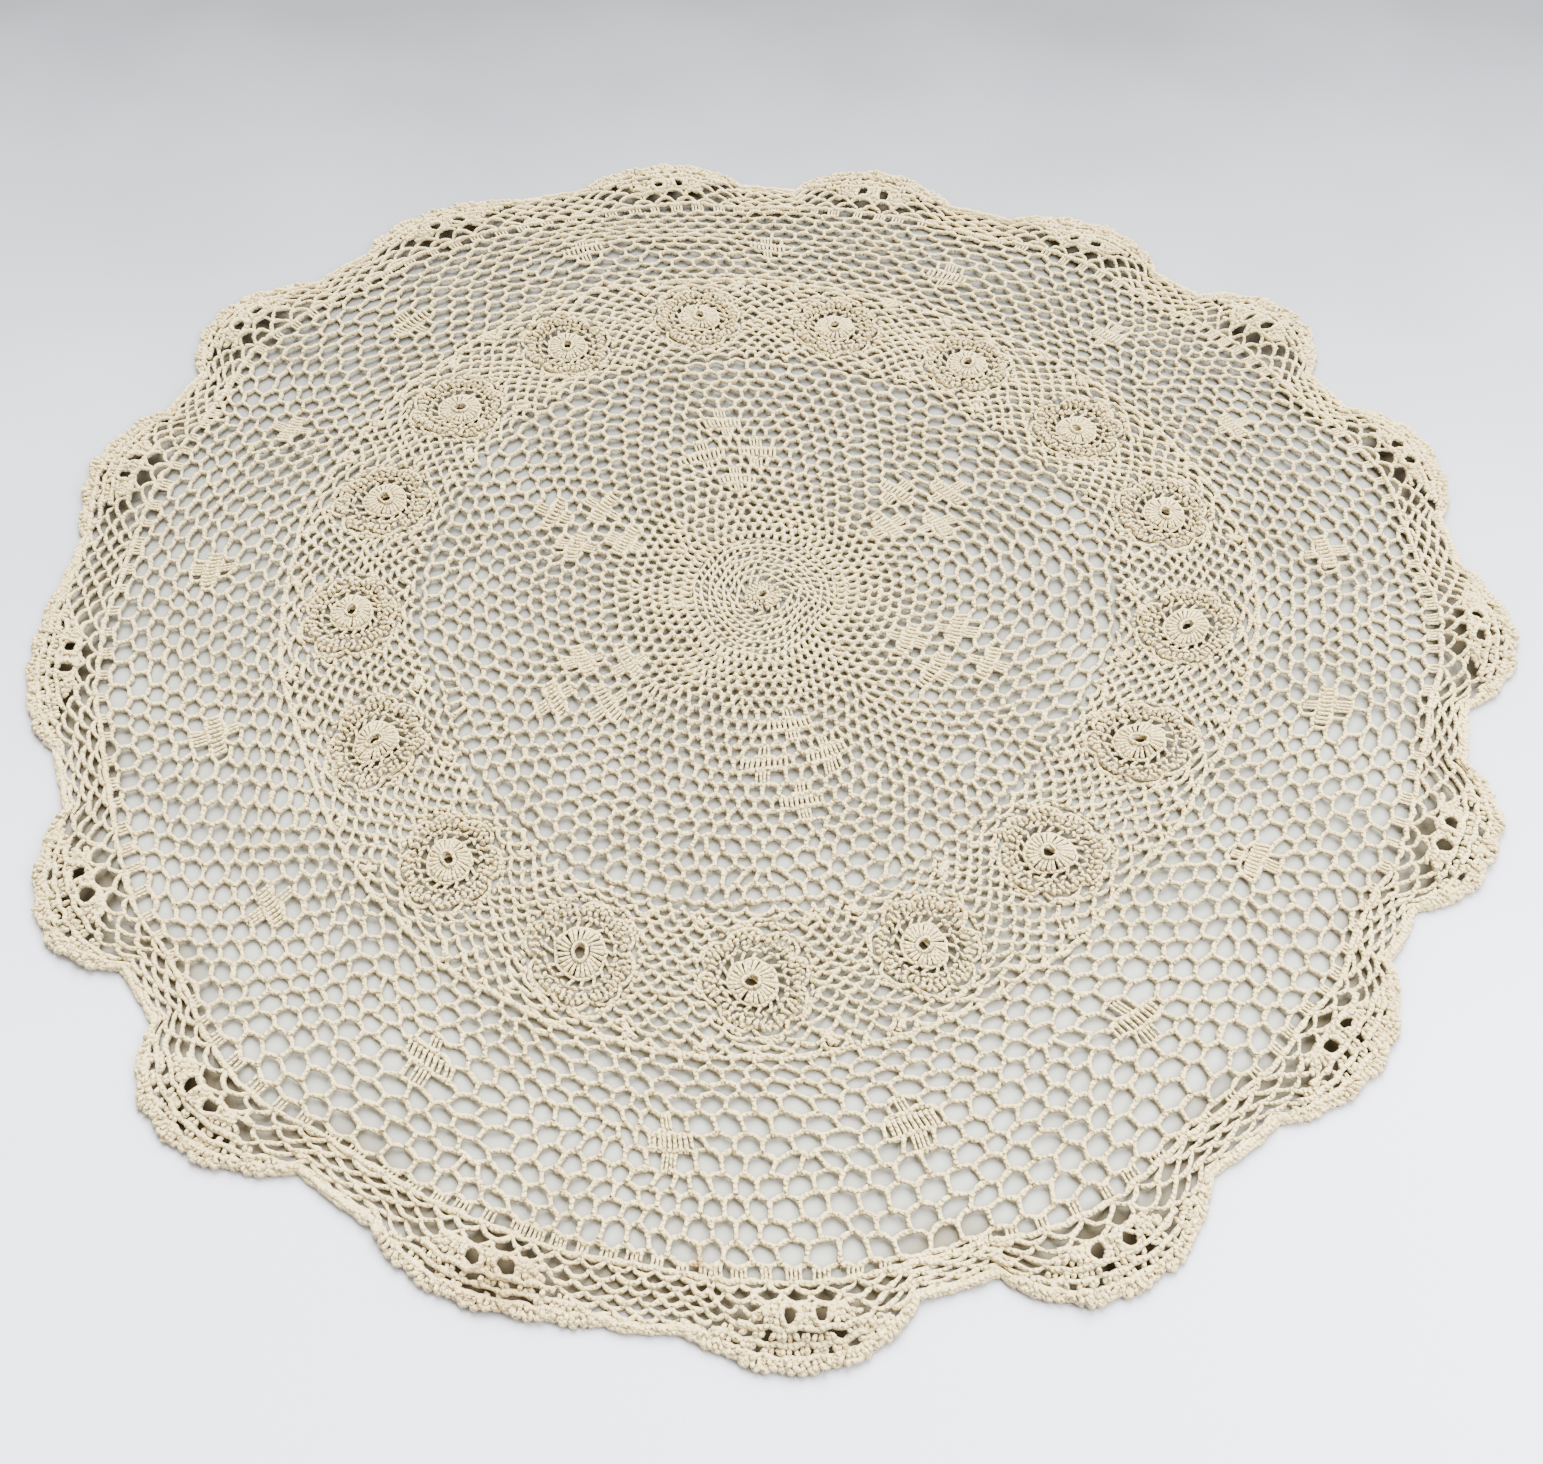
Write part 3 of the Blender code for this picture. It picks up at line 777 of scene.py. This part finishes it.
def rosette(work, number):
    place = motif_place(number)
    turn = draw.uniform(0, tau)
    for height in EYE_HEIGHTS:
        ridge(work, place, EYE, TIGHT, height, wave=0.0007, waves=2)
    post_round(work, place, DISC_POSTS, 0.0006, turn, crown=0.0018)
    ridge(work, place, DISC + 0.0005, TIGHT, 0.0016, wave=0.0003, waves=7)
    post_round(work, place, EYELETS, 0.0004, turn)
    knot_round(work, place, *EYELET_KNOTS, TIGHT, 0.0012, 1.3)
    post_round(work, place, SMALL_EYELETS, 0.0006, turn)
    petals(work, place, turn)
    ridge(work, place, PETAL_RIDGE, 0.0015, 0.0004, wave=0.0010, waves=5)
    knot_round(work, place, *RIM_KNOTS, 0.0012, 0.0003, pi / 2)
    tufts(work, place)


rosette_works = [Work(f"rosette_{number + 1:02d}_lace") for number in range(REPEATS)]
for number, work in enumerate(rosette_works):
    rosette(work, number)
mesh_rounds(rosette_works)
rosettes = [make_tubes(work) for work in rosette_works]
print("rosettes", len(rosettes))

# %% [markdown]
# ## Outer net
# Eleven more rounds of net run right around the ring, with one filled diamond between each pair
# of rosettes. The surround is one piece of work, but it is kept in four sectors so that each mesh
# stays a handy size. A strand goes to the sector that its middle lies in.

# %% Sectors and the outer net
sectors = [Work(f"surround_lace_{letter}") for letter in "abcd"]
SECTORS = len(sectors)


def in_sector(u):
    return sectors[int(u % REPEATS * SECTORS / REPEATS) % SECTORS]


CELLS = 8  # posts to a repeat in the first round
LAST_CELLS = 10  # and in the last
OUTER_ROUNDS = 11
ROUNDS_GROW = 1.12  # the rounds are a little taller towards the edging
DIAMOND_ROW = 5  # round with the widest row of a diamond
DROPPED = 7.40  # a stitch of the first round that was left out, in repeats
feet = (np.arange(REPEATS * CELLS) + 0.5) / CELLS
q_feet = np.full(len(feet), MOTIF_EDGE - 0.0012)
reach = MOTIF_EDGE - 0.0008 + 0.0012 * np.sin(pi * PATH)
for i in range(REPEATS * CELLS):
    line = (i + PATH) / CELLS
    in_sector(line[6]).chain(pattern_xy(line, reach))
for row in range(OUTER_ROUNDS):
    blocks = [Block(k + 0.5, stitches, spacing) for k in range(REPEATS)
              for of_row, stitches, spacing in DIAMOND_ROWS if DIAMOND_ROW + of_row == row]
    following = round(REPEATS * (CELLS + (LAST_CELLS - CELLS) * (row + 1) / OUTER_ROUNDS))
    top = MOTIF_EDGE + (NET_END - MOTIF_EDGE) * ((row + 1) / OUTER_ROUNDS) ** ROUNDS_GROW
    feet, q_feet = net_round(in_sector, feet, q_feet, top, ARCH, following - len(feet), blocks,
                             0.88 * YARN, skip=(DROPPED,) if row == 0 else ())
print("outer net", OUTER_ROUNDS, "rounds, the last of", len(feet))

# %% [markdown]
# ## Scalloped edging
# A round of small blocks ends the net. Chain loops follow, drawn close together in the dips and
# spread out in the scallops. Each scallop has an open fan with two large holes, two bands of long
# stitches around it, and a rim of five shells. All of it is placed by its share of the way from
# the net's end to the rim, so that it follows the scallops by itself.

# %% Block round and loops
DEPTH = RIM - NET_END
BLOCK_TOP = 0.15
BLOCK_SPACING = 0.0024
LOOP_SHARES = [0.28, 0.41, 0.53, 0.65, 0.76, 0.87]
FAN = (0.42, 0.61)  # shares where the fan begins and ends
FAN_HALF = 0.15  # its half width, in repeats
HOLE_AWAY, HOLE = 0.051, 0.0052  # the fan's two holes: repeats from the middle, and radius
BANDS = ((0.655, 0.735), (0.77, 0.845))  # two rounds of long stitches beyond the fan
BANDS_HALF = (0.26, 0.31)
SPACING = 0.0185  # repeats from one long stitch to the next


def at_share(u, share):
    return pattern_xy(u, NET_END + np.asarray(share) * DEPTH)


for i in range(len(feet)):
    block = Block(feet[i] + draw.normal(0, 0.003), int(draw.integers(3, 5)), BLOCK_SPACING)
    stitch_block(in_sector, block, q_feet[i] - 0.0008, NET_END + (BLOCK_TOP - 0.01) * DEPTH)
crests, shares = feet.copy(), np.full(len(feet), BLOCK_TOP)
share = BLOCK_TOP + 0.02 * np.sin(pi * PATH[:9] * 1.5)
for i in range(len(feet)):
    in_sector(feet[i]).chain(at_share(np.linspace(feet[i], next_place(feet, i), 9), share),
                             1.05 * YARN, 0.0020)
for top in LOOP_SHARES:
    next_crests, next_shares = [], []
    for i in range(len(crests)):
        u0, u1 = crests[i], next_place(crests, i)
        middle = u0 + (u1 - u0) * draw.uniform(0.45, 0.55)
        crest = top + draw.normal(0, 0.006)
        next_crests.append(middle)
        next_shares.append(crest)
        away = abs(middle - np.round(middle))
        in_fan = away < FAN_HALF and FAN[0] < top
        in_bands = away < BANDS_HALF[0] and top > BANDS[0][0]
        if not in_fan and not in_bands:
            path = loop(u0, u1, shares[i], shares[(i + 1) % len(shares)], crest, 0.5)
            in_sector(middle).chain(at_share(*path), 0.82 * YARN, float_up=draw.uniform(0, 2 * LOOSE))
    crests, shares = np.array(next_crests), np.array(next_shares)
print("edging loops", len(LOOP_SHARES), "rounds")

# %% Fans and bands
BOBBLE, BOBBLE_RADIUS = 0.0040, 0.76 * YARN


def fan_post(u, side0, share0, side1, share1):
    """A bobbly long stitch of the scallop, as a row of knots."""
    foot, head = at_share(u + side0, share0), at_share(u + side1, share1)
    away = head - foot
    count = max(1, round(hypot(*away) / 0.0030))
    for i in range(count):
        in_sector(u).knot(foot + away * (i + 0.5) / count, atan2(away[1], away[0]),
                          BOBBLE, BOBBLE_RADIUS, 0.0006 + draw.uniform(-0.0003, 0.0012))


def swaying(side, share, depth, most):
    """A share of the way out that sways a little along the scallop."""
    return share + depth * np.sin(tau * side * draw.uniform(8, most) + draw.uniform(0, tau))


def scallop_chain(u, half, share, radius, height):
    side = np.linspace(-half, half, 61)
    in_sector(u).chain(at_share(u + side, swaying(side, share, 0.010, 13)), radius, height)


def hole_ring(u, middle, radius):
    """A closed chain about a hole, a little out of round."""
    turns = np.linspace(0, tau, 25)
    reach = radius * (1 + 0.10 * np.cos(2 * turns + draw.uniform(0, tau)))
    in_sector(u).chain(middle + reach[:, None] * np.stack([np.cos(turns), np.sin(turns)], -1),
                       0.95 * YARN, 0.0024)


def scallop(u):
    """The open fan with its two round holes, and the bands around it."""
    lean = draw.uniform(-0.015, 0.015)
    for offset in (-1, 0, 1):
        fan_post(u, lean + 0.011 * offset, FAN[0], lean + 0.016 * offset, FAN[1])
    for sign in (-1, 1):
        hole = at_share(u + lean + sign * HOLE_AWAY, draw.normal(0.515, 0.01))
        hole_ring(u, hole, HOLE * draw.uniform(0.9, 1.1))
        for i in range(5):
            spread = i / 4
            fan_post(u, lean + sign * (0.092 + 0.030 * spread), FAN[0] + 0.01,
                     lean + sign * (0.094 + 0.080 * spread), FAN[1] - 0.05 * spread)
    scallop_chain(u, 0.17, FAN[0] - 0.005, YARN, 0.0018)
    scallop_chain(u, 0.21, FAN[1] + 0.015, YARN, 0.0024)
    for (low, high), half in zip(BANDS, BANDS_HALF):
        scallop_chain(u, half + 0.02, high + 0.015, 1.05 * YARN, 0.0022)
        count = round(2 * half / SPACING)
        for i in range(count):
            side = (i - (count - 1) / 2) * SPACING
            if draw.random() < 0.7:
                fan_post(u, side * 0.97, low, side + draw.normal(0, 0.004), high)


print("bands", len(BANDS))

# %% Shells and dips
LOBES = 5  # shells of a scallop
DIP_CHAINS = ((0.985, 0.0013), (0.945, 0.0024), (0.905, 0.0016))  # share and height of each
SHELL_FOOT, SHELL_TOP, SHELL_EDGE = BANDS[1][1] + 0.02, 0.975, 0.985  # shares of the way out


def rim_shells(u):
    """Five shells of bobbly stitches, each bound with a chain."""
    lobe = 2 * SCALLOP / LOBES
    t = np.linspace(-1, 1, 17)
    for number in range(LOBES):
        middle = (number - (LOBES - 1) / 2) * lobe
        for i in range(8):
            spread = (i - 3.5) / 3.5
            side = middle + 0.47 * lobe * spread
            reach = SHELL_TOP - 0.05 * spread * spread + draw.normal(0, 0.004)
            foot = at_share(u + middle + 0.34 * lobe * spread, SHELL_FOOT)
            head = at_share(u + side, reach)
            for step in (0.2, 0.55, 0.9):
                in_sector(u).knot(foot + (head - foot) * step, atan2(*(head - foot)[::-1]),
                                  0.0042, 0.72 * YARN, draw.uniform(0.0002, 0.0022))
        share = SHELL_EDGE - 0.060 * t * t + 0.026 * np.cos(4.5 * pi * t + draw.uniform(-1, 1))
        in_sector(u).chain(at_share(u + middle + 0.5 * lobe * t, share), YARN)


def dip(u):
    """The dip after scallop u, bound with close chains."""
    side = np.linspace(SCALLOP - 0.03, 1.03 - SCALLOP, 31)
    for share, height in DIP_CHAINS:
        in_sector(u + 0.5).chain(at_share(u + side, swaying(side, share, 0.012, 12)), 1.05 * YARN,
                                 height)


for u in map(float, range(REPEATS)):
    scallop(u)
    rim_shells(u)
    dip(u)
surround = [make_tubes(work) for work in sectors]
triangles = [len(piece.data.loops) - 2 * len(piece.data.polygons)
             for piece in (medallion, *rosettes, *surround)]
print("triangles", sum(triangles), "in all, and at most", max(triangles), "a piece")

# %% [markdown]
# ## Into the frame
# Each piece takes its solid's place, and its solid is hidden. A flat size is worked out for each
# piece but is not used: the medallion is a disc, a motif is its share of the ring, and a sector is
# a quarter of the strip around that ring.

# %% Ride and replace
TILE = (tau * RING / REPEATS, MOTIF_EDGE - MEDALLION_EDGE)
TILE_AREA = pi * (MOTIF_EDGE ** 2 - MEDALLION_EDGE ** 2) / REPEATS
STRIP_REACH = (0.303, 0.445)  # mean laid reach of the motifs' edge and of the rim
STRIP = (pi * sum(STRIP_REACH) / SECTORS, STRIP_REACH[1] - STRIP_REACH[0])
TABLE_HALF = 3.0
table_mesh = bpy.data.meshes.new("table_top")
corners = [(x * TABLE_HALF, y * TABLE_HALF, 0) for x, y in ((-1, -1), (1, -1), (1, 1), (-1, 1))]
table_mesh.from_pydata(corners, [], [(0, 1, 2, 3)])
table = add_object("table_top", table_mesh)
for piece, nodes, flat, area in (
        [(medallion, ["medallion"], (2 * MEDALLION_EDGE,) * 2, pi * MEDALLION_EDGE ** 2)]
        + [(piece, [f"rosette_{i + 1:02d}"], TILE, TILE_AREA) for i, piece in enumerate(rosettes)]
        + [(piece, ["surround"], STRIP, None) for piece in surround]):
    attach(piece, "root")
    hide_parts(*nodes)
print("strip of a sector", [round(v, 4) for v in STRIP])

# %% [markdown]
# ## Table
# The doily lies on a table with a smooth pale cloth: flat, with a very fine tooth, cool white in
# front, and painted greyer towards the back, where the light falls off. Soft light alone would
# leave it too bright under the lace, so shade is painted into its colour there: duller and warmer
# under all the lace, darker close under the yarn, a little darker under the thick edging, and
# darkest under the rosettes and the puffed scallops. An image texture of that shade would slip
# when the doily changes, so its places are worked out from the doily's layout.

# %% Where shade is painted on the table
# how far in from the rim the painted shade begins and is full, under the lace and under its edging
LACE_SHADE, EDGING_SHADE = (0.002, 0.018), (0.044, 0.024)
RIM_POINTS = 85
DEEP_REACH = 0.028  # how far the shade under a rosette or a scallop reaches


def inside_rim(add, place):
    """How far in from the doily's rim a place on the table is, in metres."""
    rim = outline[:, :2] - MIDDLE
    turns = np.linspace(0, 1, RIM_POINTS)
    reaches = np.interp((turns - 0.5) * tau, np.arctan2(rim[:, 1], rim[:, 0]),
                        np.hypot(*rim.T), period=tau)
    split = add("SeparateXYZ", {"Vector": place})
    angle = add("Math", {0: split.outputs["Y"], 1: split.outputs["X"]}, operation="ARCTAN2")
    turn = add("Math", {0: angle, 1: 1 / tau, 2: 0.5}, operation="MULTIPLY_ADD")
    curve = add("FloatCurve", {"Value": turn})
    points = curve.mapping.curves[0].points
    for at, reach in zip(turns[1:-1], reaches[1:-1]):
        points.new(at, reach)
    points[0].location, points[-1].location = (0.0, reaches[0]), (1.0, reaches[-1])
    curve.mapping.update()
    away = add("VectorMath", {0: place}, operation="LENGTH")
    return add("Math", {0: curve, 1: away}, operation="SUBTRACT")


def under_lace(add, place):
    """Masks for the painted shade: 1 under the lace, and 1 under the edging alone."""
    inwards = inside_rim(add, place)
    inside, near_rim = (add("MapRange", {"Value": inwards, "From Min": none, "From Max": full},
                            interpolation_type="SMOOTHSTEP")
                        for none, full in (LACE_SHADE, EDGING_SHADE))
    return inside, add("Math", {0: inside, 1: near_rim}, operation="MULTIPLY")


def under_thick(add, place):
    """Mask for the painted shade: 1 under the rosettes and the puffed scallops."""
    deep = 0.0
    for middle in laid(np.concatenate([at_share(np.arange(REPEATS), PUFF_PLACE),
                                       pattern_xy(np.arange(REPEATS), RING)])):
        shade = spot(add, place, (*middle[:2], 0.0), DEEP_REACH, hold=0.5)
        deep = add("Math", {0: shade, 1: deep}, operation="MAXIMUM")
    return deep


print("deep shade at", 2 * REPEATS, "places")

# %% Table cloth and its painted shade
TOOTH, CLOUD = 1 / 700, 0.2  # sizes of the tooth and of the uneven grey, in metres
TABLE_NEAR, TABLE_FAR = -0.4, 0.8  # painted shade: the cloth is coloured greyer from here to there, as the light falls off
TABLE_PALE, TABLE_BACK_SHADE = "#CDD4E7", "#5F636D"
YARN_CONTACT_SHADE = "#BCB09C"  # painted shade close under the yarn, where the table is hidden from the light
TABLE_LACE_SHADE = "#D6D6C6"  # painted shade anywhere under the lace
TABLE_EDGING_SHADE = "#C2B8A6"  # painted shade under the thick edging
TABLE_DEEP_SHADE = "#A0957F"  # painted shade under the rosettes and the puffed scallops


def table_cloth():
    material, add = new_material("pale_table_cloth")
    place = add("TexCoord").outputs["Object"]
    tooth = add("TexNoise", {"Vector": place, "Scale": 1 / TOOTH, "Detail": 3.0})
    clouds = add("TexNoise", {"Vector": place, "Scale": 1 / CLOUD})
    split = add("SeparateXYZ", {"Vector": place})
    # painted shade: greyer towards the back, where less light falls
    back = add("MapRange", {"Value": split.outputs["Y"], "From Min": TABLE_NEAR,
                            "From Max": TABLE_FAR})
    even = add("Math", {0: clouds, 1: 0.5}, operation="SUBTRACT")
    spread = add("Math", {0: even, 1: 0.15}, operation="MULTIPLY")
    falloff_shade = add("Math", {0: back, 1: spread}, operation="ADD")
    colour = add("ValToRGB", {"Fac": falloff_shade}, [(0.1, TABLE_PALE), (0.9, TABLE_BACK_SHADE)])
    # painted shade: darker where the yarn hems the table in
    hidden = add("AmbientOcclusion", {"Distance": 0.018}, samples=1)
    shaded = add("ValToRGB", {"Fac": hidden.outputs["AO"]}, [(0.0, YARN_CONTACT_SHADE), (1.0, "#FFFFFF")])
    # painted shade: duller under the lace, darker under the edging, darkest under rosettes and
    # scallops
    inside, near_rim = under_lace(add, place)
    for share, code in ((1.0, shaded), (inside, TABLE_LACE_SHADE), (near_rim, TABLE_EDGING_SHADE),
                        (under_thick(add, place), TABLE_DEEP_SHADE)):
        colour = add("Mix", {"Factor": share, 6: colour, 7: code}, data_type="RGBA",
                     blend_type="MULTIPLY")
    bump = add("Bump", {"Height": tooth, "Strength": 0.25, "Distance": 0.0005})
    shader = add("BsdfPrincipled", {"Base Color": colour, "Roughness": 0.8, "Normal": bump,
                                    "Specular IOR Level": 0.3})
    add("OutputMaterial", {"Surface": shader})
    return material


table.data.materials.append(table_cloth())
print("material", table.data.materials[0].name)

# %% [markdown]
# ## Camera and light
# The camera stands in front of the doily and looks down at it at about 57 degrees. The light is
# soft daylight: a broad sun from behind and above, a soft lamp at the right, and pale
# surroundings. Small hard lamps would draw every strand's shadow on the table.

# %% Camera
SENSOR = 36.0
FOCAL, FRAME_WIDTH = 1550, 1543  # in pixels
CAMERA_PLACE = np.array((0.0052, -0.6148, 0.7753))  # from the middle of the outline
CAMERA_TILT = 33.48  # from straight down, in degrees
camera_data = bpy.data.cameras.new("camera")
camera_data.sensor_fit = "HORIZONTAL"
camera_data.sensor_width = SENSOR
camera_data.lens = SENSOR * FOCAL / FRAME_WIDTH
camera = add_object("camera", camera_data)
camera.location = CAMERA_PLACE - (*MIDDLE, 0.0)
camera.rotation_euler = (radians(CAMERA_TILT), 0.0, 0.0)
bpy.context.scene.camera = camera
print("camera looks down at", round(90 - CAMERA_TILT), "degrees")

# %% Light
SUN, SUN_SOFTNESS = 17.5, 46  # strength, and its width in the sky in degrees
SUN_TURN = (-44, 4)  # from straight down, in degrees
LAMP_PLACE, LAMP_AT = np.array((1.1, -0.5, 1.0)), np.array((0.1, -0.2, 0.0))


def light(name, kind, energy, colour, place, turn):
    data = bpy.data.lights.new(name, kind)
    data.energy = energy
    data.color = linear(colour)[:3]
    lamp = add_object(name, data)
    lamp.location = place
    lamp.rotation_euler = turn
    return data


window = light("window", "SUN", SUN, "#FFFCF4", (0, 0, 0), (*map(radians, SUN_TURN), 0.0))
window.angle = radians(SUN_SOFTNESS)
away = LAMP_PLACE - LAMP_AT
room = light("room", "AREA", 50.0, "#FFFCF6", LAMP_PLACE,
             (atan2(hypot(*away[:2]), away[2]), 0.0, atan2(away[0], -away[1])))
room.shape = "DISK"
room.size = 0.8
world = bpy.data.worlds.new("room_light")
world.use_nodes = True
sky = world.node_tree.nodes["Background"].inputs
sky["Color"].default_value = linear("#FFF0DA")
sky["Strength"].default_value = 1.1
bpy.context.scene.world = world
print("lights", len(bpy.data.lights))
